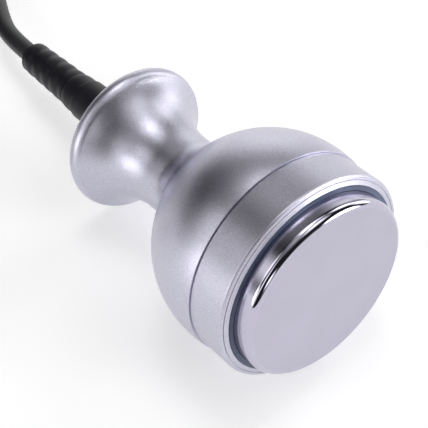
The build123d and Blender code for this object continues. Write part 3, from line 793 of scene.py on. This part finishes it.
@dataclass(frozen=True)
class InsulatingRing:
    """Plastic ring between head and collar, with a softened nose."""

    bore_r: float = 30.05
    nose_r: float = 31.6
    web_r: float = 30.85
    flange_r: float = 33.25
    front_s: float = 6.5
    lip_s: float = 8.4
    flange_s: float = 10.4
    end_s: float = 11.6
    rounding: float = 0.12

    def build(self, place: Matrix, finish: Finish) -> bpy.types.Object:
        """Turns the ring."""
        nose = (self.bore_r + self.rounding, self.front_s + self.rounding)
        outline = Outline(self.bore_r, nose[1]).arc(nose, nose[0], self.front_s, math.radians(15))
        outline.line(
            (self.nose_r, self.front_s),
            (self.nose_r, self.lip_s),
            (self.web_r, self.lip_s),
            (self.web_r, self.flange_s),
            (self.flange_r, self.flange_s),
            (self.flange_r, self.end_s),
            (self.bore_r, self.end_s),
            (self.bore_r, nose[1]),
        )
        return Placed("insulator", outline.turned(256), place, finish, ("insulating_ring",)).piece()


@dataclass(frozen=True)
class FrontCollar:
    """Aluminium collar: sloped front face with a fine groove, rounded crest, chamfered seam."""

    outer_r: float = 34.55
    front_s: float = 6.6
    slope: float = 0.7
    crest: float = 0.7
    mouth_r: float = 31.65
    lip_r: float = 30.9
    bore_r: float = 33.35
    lip_s: float = 8.4
    lip_end_s: float = 10.4
    seam_s: float = 20.3
    seam_chamfer: float = 0.25
    edge_r: float = 0.12
    groove_r: float = 33.1
    groove_width: float = 0.2
    groove_depth: float = 0.35

    def build(self, place: Matrix, finish: Finish) -> bpy.types.Object:
        """Turns the collar."""
        e, corner_s = self.edge_r, self.front_s + self.slope + self.crest
        crest = (self.outer_r - self.crest, corner_s)
        rise = self.slope / (crest[0] - self.mouth_r)

        def face(r: float) -> Pair:
            """The point of the front face at a radius."""
            return (r, self.front_s + (r - self.mouth_r) * rise)

        inner, outer = face(self.groove_r), face(self.groove_r + self.groove_width)
        floor_s = inner[1] + self.groove_depth
        outline = Outline(self.mouth_r, self.front_s + e)
        lip = (self.mouth_r + e, self.front_s + e)
        outline.arc(lip, lip[0], self.front_s, math.radians(20))
        outline.line(inner, (inner[0], floor_s), (outer[0], floor_s), outer)
        outline.line((crest[0], corner_s - self.crest))
        outline.arc(crest, self.outer_r, corner_s, math.radians(6))
        outline.line(
            (self.outer_r, self.seam_s - self.seam_chamfer),
            (self.outer_r - self.seam_chamfer, self.seam_s),
            (self.bore_r, self.seam_s),
            (self.bore_r, self.lip_end_s),
            (self.lip_r, self.lip_end_s),
            (self.lip_r, self.lip_s),
            (self.mouth_r, self.lip_s),
            (self.mouth_r, self.front_s + e),
        )
        return Placed("collar", outline.turned(256), place, finish, ("front_collar",)).piece()


@dataclass(frozen=True)
class HandleShell:
    """Bell, waist and knob, turned in one piece and hollow."""

    seam_s: float = 20.3
    seam_chamfer: float = 0.12
    spigot_r: float = 33.25
    spigot_s: float = 15.1
    spigot_inner_r: float = 30.45
    bell_s: float = 25.62
    seam_r: float = 35.1
    wall: float = 2.8
    waist_r: float = 14.15
    waist_curve_r: float = 11.7
    waist_length: float = 4.9
    flare_r: float = 25.7
    knob_r: float = 25.7
    front_rounding: float = 3.75
    rear_rounding: float = 3.7
    cap_r: float = 21.55
    cap_thread_r: float = 18.6
    cap_depth: float = 3.5

    @staticmethod
    def _between(p: Pair, q: Pair, length: float) -> Pair:
        """The point at that distance from p on the line to q."""
        share = length / math.dist(p, q)
        return (p[0] + (q[0] - p[0]) * share, p[1] + (q[1] - p[1]) * share)

    def bell_r(self) -> float:
        """The bell's radius: it passes through the seam's edge."""
        return math.hypot(self.seam_r, self.bell_s - self.seam_s)

    def waist_s(self) -> float:
        """Where the waist starts."""
        across = self.waist_r + self.waist_curve_r
        return self.bell_s + math.sqrt((self.bell_r() + self.waist_curve_r) ** 2 - across**2)

    def knob_s(self) -> float:
        """The knob's widest place."""
        across = self.waist_r + self.flare_r - (self.knob_r - self.front_rounding)
        reach = self.flare_r + self.front_rounding
        return self.waist_s() + self.waist_length + math.sqrt(reach**2 - across**2)

    def rear_s(self) -> float:
        """The knob's rear face."""
        return self.knob_s() + self.rear_rounding

    def build(self, place: Matrix, finish: Finish) -> bpy.types.Object:
        """Turns the shell."""
        waist_s, knob_s, rear_s = self.waist_s(), self.knob_s(), self.rear_s()
        waist_end = waist_s + self.waist_length
        bell, waist = (0.0, self.bell_s), (self.waist_r + self.waist_curve_r, waist_s)
        flare = (self.waist_r + self.flare_r, waist_end)
        nose = (self.knob_r - self.front_rounding, knob_s)
        tail = (self.knob_r - self.rear_rounding, knob_s)
        chamfer_s = self.seam_s + self.seam_chamfer
        bell_r = self.bell_r()
        start_r = math.sqrt(bell_r**2 - (chamfer_s - self.bell_s) ** 2)
        fine = math.radians(2)

        outline = Outline(self.spigot_r, self.seam_s)
        outline.line((start_r - self.seam_chamfer, self.seam_s), (start_r, chamfer_s))
        outline.arc(bell, *self._between(bell, waist, bell_r), fine)
        outline.arc(waist, self.waist_r, waist_s, fine)
        outline.line((self.waist_r, waist_end))
        outline.arc(flare, *self._between(nose, flare, self.front_rounding), fine)
        outline.arc(nose, self.knob_r, knob_s, math.radians(5))
        outline.arc(tail, tail[0], rear_s, math.radians(5))

        cap_seat = rear_s - self.cap_depth
        inner_flare = self.flare_r + self.wall
        flare_end = waist_end + math.sqrt(inner_flare**2 - (flare[0] - self.cap_thread_r) ** 2)
        inner_bell = bell_r - self.wall
        cavity_s = self.bell_s + math.sqrt(inner_bell**2 - self.spigot_inner_r**2)
        bore = self.waist_r - self.wall
        outline.line((self.cap_r, rear_s), (self.cap_r, cap_seat), (self.cap_thread_r, cap_seat))
        outline.line((self.cap_thread_r, flare_end))
        outline.arc(flare, bore, waist_end)
        outline.line((bore, waist_s))
        outline.arc(waist, *self._between(bell, waist, inner_bell))
        outline.arc(bell, self.spigot_inner_r, cavity_s)
        outline.line((self.spigot_inner_r, self.spigot_s), (self.spigot_r, self.spigot_s))
        outline.line((self.spigot_r, self.seam_s))
        return Placed("shell", outline.turned(256), place, finish, ("handle_shell",)).piece()


@dataclass(frozen=True)
class BendProtector:
    """Rubber sleeve round the lead: flange, root, plain band, then one rib wound to the tip."""

    rear_s: float
    bore_r: float = 3.5
    neck_r: float = 7.5
    flange_r: float = 10.5
    flange_thickness: float = 2.0
    cap_thickness: float = 3.0
    base_r: float = 7.7
    root_end_r: float = 7.5
    root_length: float = 25.0
    band_r: float = 7.0  # plain band between the root and the ribs
    band_length: float = 7.5
    rib_start_r: float = 6.25
    rib_end_r: float = 5.5
    rib_bulge: float = 0.38
    pitch: float = 5.85
    length: float = 60.0
    tip_r: float = 5.1
    steps: int = 72

    def end_s(self) -> float:
        """The sleeve's tip."""
        return self.rear_s + self.length

    def _root(self) -> bmesh.types.BMesh:
        """Flange, neck, smooth root and the plain band behind it."""
        seat = self.rear_s - self.cap_thickness
        root_s = self.rear_s + self.root_length
        band_s = root_s + self.band_length
        outline = Outline(self.bore_r, seat - self.flange_thickness)
        outline.line(
            (self.flange_r, seat - self.flange_thickness),
            (self.flange_r, seat),
            (self.neck_r, seat),
            (self.neck_r, self.rear_s),
            (self.base_r, self.rear_s),
            (self.root_end_r, root_s - 0.5),
        )
        shoulder = (self.root_end_r - 0.4, root_s - 0.5)
        outline.arc(shoulder, shoulder[0], root_s - 0.1, math.radians(15))
        outline.line((self.band_r, root_s + 0.5), (self.band_r, root_s + self.band_length * 0.6))
        outline.line(
            (self.band_r - 0.12, band_s - 1.8),
            (self.band_r - 0.4, band_s - 0.7),
            (self.rib_start_r, band_s),
            (self.bore_r, band_s),
            (self.bore_r, seat - self.flange_thickness),
        )
        return outline.turned(128)

    def _ribs(self) -> bmesh.types.BMesh:
        """One rib wound round the sleeve and cut off square at both ends."""
        start, end = self.rear_s + self.root_length + self.band_length - 0.4, self.end_s() - 0.8
        low = start - self.pitch
        crest = self.rib_bulge
        radius = (crest**2 + (self.pitch / 2) ** 2) / (2 * crest)
        centre = (self.rib_start_r + crest - radius, low + self.pitch / 2)
        wound = Outline(self.rib_start_r, low)
        wound.arc(centre, self.rib_start_r, low + self.pitch, math.radians(5))
        mesh = wound.mesh
        turns = math.ceil((end - low) / self.pitch)
        bmesh.ops.spin(
            mesh,
            geom=mesh.verts[:] + mesh.edges[:],
            cent=(0, 0, 0),
            axis=(0, 0, 1),
            dvec=(0, 0, self.pitch / self.steps),
            angle=math.tau * turns,
            steps=self.steps * turns,
        )
        bmesh.ops.remove_doubles(mesh, verts=mesh.verts[:], dist=1e-3)
        for s, side in ((start, -1), (end, 1)):
            geom = mesh.verts[:] + mesh.edges[:] + mesh.faces[:]
            bmesh.ops.bisect_plane(
                mesh, geom=geom, plane_co=(0, 0, s), plane_no=(0, 0, side), clear_outer=True
            )
        taper = (self.rib_end_r - self.rib_start_r) / (end - start)
        for vertex in mesh.verts:
            share = 1 + taper * (vertex.co.z - start) / self.rib_start_r
            vertex.co.x *= share
            vertex.co.y *= share
        rims = [e for e in mesh.edges if e.is_boundary]
        bmesh.ops.holes_fill(mesh, edges=rims)
        bmesh.ops.recalc_face_normals(mesh, faces=mesh.faces[:])
        return mesh

    def _tip(self) -> bmesh.types.BMesh:
        """Short plain ring at the tip."""
        end = self.end_s()
        outline = Outline(self.bore_r, end - 1.6)
        outline.line((self.rib_end_r - 0.1, end - 1.6), (self.tip_r + 0.2, end - 0.3))
        outline.line((self.tip_r, end), (self.bore_r, end), (self.bore_r, end - 1.6))
        return outline.turned(96)

    def build(self, place: Matrix, finish: Finish) -> bpy.types.Object:
        """Joins root, ribs and tip into one piece."""
        whole = self._root()
        for part in (self._ribs(), self._tip()):
            absorb(whole, part)
        node = ("bend_protector",)
        return Placed("ribbed_sleeve", whole, place, finish, node, crease=50.0).piece()


@dataclass(frozen=True)
class ConnectorSleeve:
    """Ribbed rubber sleeve where the lead leaves the connector. Millimetres."""

    flange_s: float = 38.7
    nut_end_s: float = 43.0
    end_s: float = 65.0
    bore_r: float = 3.5
    flange_r: float = 6.0
    flange_thickness: float = 1.8
    base_r: float = 5.4
    tip_r: float = 4.4
    plain: float = 3.2
    ribs: int = 5
    groove: float = 0.7
    groove_width: float = 1.1
    slope: float = 0.3

    def build(self, place: Matrix, finish: Finish) -> bpy.types.Object:
        """Turns the sleeve: flange, plain start, then ribs with grooves between them."""
        front = self.flange_s + self.flange_thickness
        outline = Outline(self.bore_r, self.flange_s)
        outline.line((self.flange_r, self.flange_s), (self.flange_r, front), (self.base_r, front))
        start, end = self.nut_end_s + self.plain, self.end_s - self.plain / 2
        pitch = (end - start) / self.ribs
        taper = (self.tip_r - self.base_r) / (self.end_s - self.nut_end_s)
        for i in range(self.ribs + 1):
            s = start + pitch * i
            crest = self.base_r + taper * (s - self.nut_end_s)
            floor = crest - self.groove
            outline.line((crest, s - self.slope), (floor, s), (floor, s + self.groove_width))
            if i < self.ribs:
                outline.line((crest, s + self.groove_width + self.slope))
        outline.line((self.tip_r, end + self.groove_width + self.slope))
        outline.line((self.tip_r, self.end_s - self.slope), (self.tip_r - self.slope, self.end_s))
        outline.line((self.bore_r, self.end_s), (self.bore_r, self.flange_s))
        return Placed("connector_sleeve", outline.turned(64), place, finish, ("plug_boot",)).piece()


@dataclass(frozen=True)
class CoilTie:
    """Hook-and-loop strap round the coil, its end laid over itself. Millimetres."""

    box: tuple[Vector, Vector]  # what the strap fills, in metres
    thickness: float = 0.95
    corner_r: float = 4.5
    hem: float = 0.3
    lap_start: float = -9.0
    lap: float = 17.0
    lift_r: float = 14.0
    lift: float = math.radians(14)

    def _section(self, width: float, y: float, top: float) -> tuple[bmesh.types.BMesh, list[Any]]:
        """Section of the strap across its width.

        Args:
            width: The strap's width.
            y: Where the section lies along the strap's way.
            top: Height of the strap's outer side.

        Returns:
            The mesh and the section's vertices and edges.
        """
        mesh = bmesh.new()
        x, low, hem = width / 2, top - self.thickness, self.hem
        made = [
            mesh.verts.new((px, y, pz))
            for px, pz in (
                (-x + hem, top), (x - hem, top), (x, top - hem), (x, low + hem),
                (x - hem, low), (-x + hem, low), (-x, low + hem), (-x, top - hem),
            )
        ]
        edges = [mesh.edges.new((a, b)) for a, b in zip(made, made[1:] + made[:1])]
        return mesh, made + edges

    @staticmethod
    def _straight(mesh: bmesh.types.BMesh, ring: list[Any], y: float, z: float) -> list[Any]:
        """Extrudes a section along a straight run and returns the new section."""
        edges = [e for e in ring if isinstance(e, bmesh.types.BMEdge)]
        made = bmesh.ops.extrude_edge_only(mesh, edges=edges)["geom"]
        verts = [v for v in made if isinstance(v, bmesh.types.BMVert)]
        bmesh.ops.translate(mesh, verts=verts, vec=(0, y, z))
        fresh = set(verts)
        edges = [e for e in made if isinstance(e, bmesh.types.BMEdge)]
        return verts + [e for e in edges if set(e.verts) <= fresh]

    @staticmethod
    def _turn(mesh: bmesh.types.BMesh, ring: list[Any], centre: Pair, angle: float) -> list[Any]:
        """Spins a section round a corner and returns the new section."""
        steps = max(3, round(abs(angle) / math.radians(9)))
        made = bmesh.ops.spin(
            mesh, geom=ring, cent=(0, *centre), axis=(1, 0, 0), angle=angle, steps=steps
        )
        return made["geom_last"]

    def _band(self, width: float, length: float, height: float) -> bmesh.types.BMesh:
        """The closed band: straight runs and four round corners."""
        half_y, half_z = length / 2 - self.corner_r, height / 2 - self.corner_r
        mesh, ring = self._section(width, -half_y, height / 2)
        quarter = -math.pi / 2
        for run, corner in (
            ((2 * half_y, 0), (half_y, half_z)),
            ((0, -2 * half_z), (half_y, -half_z)),
            ((-2 * half_y, 0), (-half_y, -half_z)),
            ((0, 2 * half_z), (-half_y, half_z)),
        ):
            ring = self._straight(mesh, ring, *run)
            ring = self._turn(mesh, ring, corner, quarter)
        bmesh.ops.remove_doubles(mesh, verts=mesh.verts[:], dist=1e-3)
        return mesh

    def _lap(self, width: float, height: float) -> bmesh.types.BMesh:
        """The strap's end on top of the band, its tip a little lifted."""
        top = height / 2 + self.thickness
        mesh, ring = self._section(width, self.lap_start, top)
        ring = self._straight(mesh, ring, self.lap, 0)
        centre = (self.lap_start + self.lap, top + self.lift_r)
        self._turn(mesh, ring, centre, self.lift)
        bmesh.ops.holes_fill(mesh, edges=[e for e in mesh.edges if e.is_boundary])
        return mesh

    def build(self, finish: Finish) -> bpy.types.Object:
        """Makes the strap in place of its stand-in."""
        low, high = self.box
        size = (high - low) / MM
        whole = self._band(size.x, size.y, size.z)
        absorb(whole, self._lap(size.x, size.z))
        bmesh.ops.recalc_face_normals(whole, faces=whole.faces[:])
        place = Matrix.Translation((low + high) / 2) @ Matrix.Scale(MM, 4)
        return Placed("coil_tie", whole, place, finish, ("cord_tie",)).piece()


@dataclass(frozen=True)
class Lead:
    """The free lead: out of the sleeve, into a tied coil, and back to the connector. Metres."""

    outlet: Vector
    ahead: Vector
    inlet: Vector
    radius: float = 0.0035
    straight: float = 0.014
    run_out: tuple[Triple, ...] = ((0.003, 0.1066, 0.0116), (0.0149, 0.1322, 0.0063))
    coil_centre: Pair = (-0.028, 0.171)
    coil_r: float = 0.0455
    coil_gap: float = 0.0005
    coil_low_z: float = 0.0048
    layer_turns: float = 2.5
    points_per_turn: int = 24
    way_step: float = 0.001
    length: float = 1.3617

    def _coil_state(self, turns: float) -> Pair:
        """Centre-line radius and height after that many turns: in, up a layer, and out again."""
        pitch = 2 * self.radius + self.coil_gap
        climb_end = self.layer_turns + 0.5
        if turns <= climb_end:
            climb = max(turns - self.layer_turns, 0) / 0.5
            return self.coil_r - pitch * turns, self.coil_low_z + pitch * climb**2 * (3 - 2 * climb)
        past = turns - climb_end
        inner = self.coil_r - pitch * climb_end
        r = inner + pitch * min(past, 0.5) / 0.5 + pitch * max(past - 0.5, 0)
        return r, self.coil_low_z + pitch

    def _coil_point(self, turns: float) -> Vector:
        """The centre line's point after that many turns."""
        r, z = self._coil_state(turns)
        angle = math.tau * turns
        x, y = self.coil_centre
        return Vector((x + r * math.cos(angle), y + r * math.sin(angle), z))

    def _coil(self) -> list[Vector]:
        """The coil's points, with a short straight run at each end."""
        turns = 2 * self.layer_turns + 0.5
        count = round(turns * self.points_per_turn)
        points = [self._coil_point(turns * i / count) for i in range(count + 1)]
        first = (self._coil_point(self.way_step) - points[0]).normalized()
        last = (points[-1] - self._coil_point(turns - self.way_step)).normalized()
        reach = 2 * self.radius
        before = [points[0] - first * (reach + self.straight), points[0] - first * reach]
        after = [points[-1] + last * reach, points[-1] + last * (reach + self.straight)]
        return before + points + after

    def route(self) -> list[Vector]:
        """Every point of the lead."""
        start = [self.outlet, self.outlet + self.ahead * self.straight]
        middle = [Vector(p) for p in self.run_out]
        end = [self.inlet + Vector((0, self.straight, 0)), self.inlet]
        return start + middle + self._coil() + end

    def build(self, finish: Finish, connector: list[bpy.types.Object]) -> bpy.types.Object:
        """Makes the lead as one smooth spline.

        Args:
            finish: The jacket.
            connector: The pieces on its far end. Not used.

        Returns:
            The lead's curve.
        """
        data = bpy.data.curves.new("lead", "CURVE")
        data.dimensions = "3D"
        data.bevel_depth, data.bevel_resolution = self.radius, 6
        data.resolution_u = 6
        data.use_fill_caps = True
        route = self.route()
        spline = data.splines.new("NURBS")
        spline.points.add(len(route) - 1)
        for point, at in zip(spline.points, route):
            point.co = (*at, 1.0)
        spline.order_u = 3
        spline.use_endpoint_u = True
        spline.use_smooth = True
        made = stood("lead", data)
        data.materials.append(finish.material())
        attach(made, ROOT)
        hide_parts("cord", "cord_coil", "cord_tail")
        LOG.info("lead: %d points", len(route))
        return made


def finishes(handle: Matrix, connector: Matrix) -> dict[Slot, Finish]:
    """Every finish by its slot.

    Args:
        handle: Placement of the handpiece.
        connector: Placement of the connector.

    Returns:
        The finishes.
    """
    made = (
        BlastedMetal(Slot.SATIN_ALUMINIUM, (0.56, 0.55, 0.645), 0.31, metallic=1.0),
        PolishedSteel(Slot.POLISHED_STEEL, (0.50, 0.48, 0.58), 0.30, metallic=1.0, face=handle),
        Moulded(
            Slot.BLUE_GREY_PLASTIC, (0.10, 0.125, 0.215), 0.38, mottle=0.06, skin_depth=0.00001
        ),
        Moulded(Slot.BLACK_RUBBER, (0.009, 0.008, 0.013), 0.40, coat_roughness=0.45, specular=0.25),
        Moulded(Slot.SEAL_RUBBER, (0.03, 0.03, 0.034), 0.6),
        Moulded(Slot.BLACK_CORD, (0.016, 0.016, 0.019), 0.45, skin=900.0),
        TurnedMetal(Slot.MACHINED_ALUMINIUM, (0.72, 0.72, 0.74), 0.30, metallic=1.0, axis=handle),
        TurnedMetal(Slot.MACHINED_STEEL, (0.45, 0.45, 0.47), 0.32, metallic=1.0, axis=handle),
        TurnedMetal(Slot.ZINC_STEEL, (0.58, 0.58, 0.60), 0.28, metallic=1.0, axis=handle),
        Moulded(Slot.PIEZO_CERAMIC, (0.36, 0.29, 0.18), 0.55, mottle=0.08),
        TurnedMetal(Slot.COPPER_FOIL, (0.80, 0.42, 0.28), 0.25, metallic=1.0, axis=handle),
        Moulded(Slot.PTFE, (0.85, 0.85, 0.82), 0.5, mottle=0.03),
        Moulded(Slot.RED_INSULATION, (0.50, 0.02, 0.02), 0.35, mottle=0.05),
        Moulded(Slot.WHITE_INSULATION, (0.78, 0.78, 0.76), 0.35, mottle=0.04),
        TurnedMetal(Slot.SOLDER, (0.60, 0.60, 0.60), 0.25, metallic=1.0, axis=handle),
        Moulded(Slot.NYLON, (0.02, 0.02, 0.02), 0.5),
        TurnedMetal(Slot.PLUG_METAL, (0.62, 0.61, 0.60), 0.22, metallic=1.0, axis=connector),
        TurnedMetal(Slot.CONTACT_GOLD, (0.83, 0.60, 0.25), 0.2, metallic=1.0, axis=connector),
        WovenTape(Slot.TIE_FABRIC, (0.012, 0.012, 0.014), 0.8, sheen=0.4),
    )
    return {finish.slot: finish for finish in made}


def dress_nodes(frame: dict[str, Any], by_slot: dict[Slot, Finish]) -> None:
    """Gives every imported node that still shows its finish.

    Args:
        by_slot: The finishes.
    """
    for row in frame["record"]["subparts"]:
        node = frame["nodes"][row["node"]]
        finish = by_slot[Slot(row["material_slot"])]
        if not node.material_slots:
            node.data.materials.append(None)
        for slot in node.material_slots:
            slot.material = finish.material()
        LOG.info("%s: %s", node.name, finish.slot.value)


def main() -> None:
    """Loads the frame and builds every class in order."""
    logging.basicConfig(level=logging.INFO, format="%(name)s: %(message)s")
    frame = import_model()
    record = frame["record"]
    handle, connector = mount_place(record, "treatment_face"), mount_place(record, "connector")
    by_slot = finishes(handle, connector)
    bpy.context.scene.view_settings.view_transform = "Standard"

    PhotoCamera().build()
    shell = HandleShell()
    sleeve = BendProtector(shell.rear_s())
    outlet = handle @ Vector((0, 0, sleeve.end_s()))
    ahead = (handle.to_3x3() @ Vector((0, 0, 1))).normalized()
    plug_nodes = [n for n in frame["nodes"] if n.startswith("plug_") and n != "plug_boot"]
    far_pieces = [frame["nodes"][n] for n in (*plug_nodes, "coupling_ring", "cord_in_plug")]
    inlet = Vector((connector.translation.x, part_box("plug_boot")[1].y, connector.translation.z))
    far_pieces.append(ConnectorSleeve().build(connector, by_slot[Slot.BLACK_RUBBER]))
    far_pieces.append(CoilTie(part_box("cord_tie")).build(by_slot[Slot.TIE_FABRIC]))
    Lead(outlet, ahead, inlet).build(by_slot[Slot.BLACK_CORD], far_pieces)

    dress_nodes(frame, by_slot)
    TreatmentHead().build(handle, by_slot[Slot.POLISHED_STEEL])
    InsulatingRing().build(handle, by_slot[Slot.BLUE_GREY_PLASTIC])
    FrontCollar().build(handle, by_slot[Slot.SATIN_ALUMINIUM])
    shell.build(handle, by_slot[Slot.SATIN_ALUMINIUM])
    sleeve.build(handle, by_slot[Slot.BLACK_RUBBER])
    Studio().build()


if __name__ == "__main__":
    main()
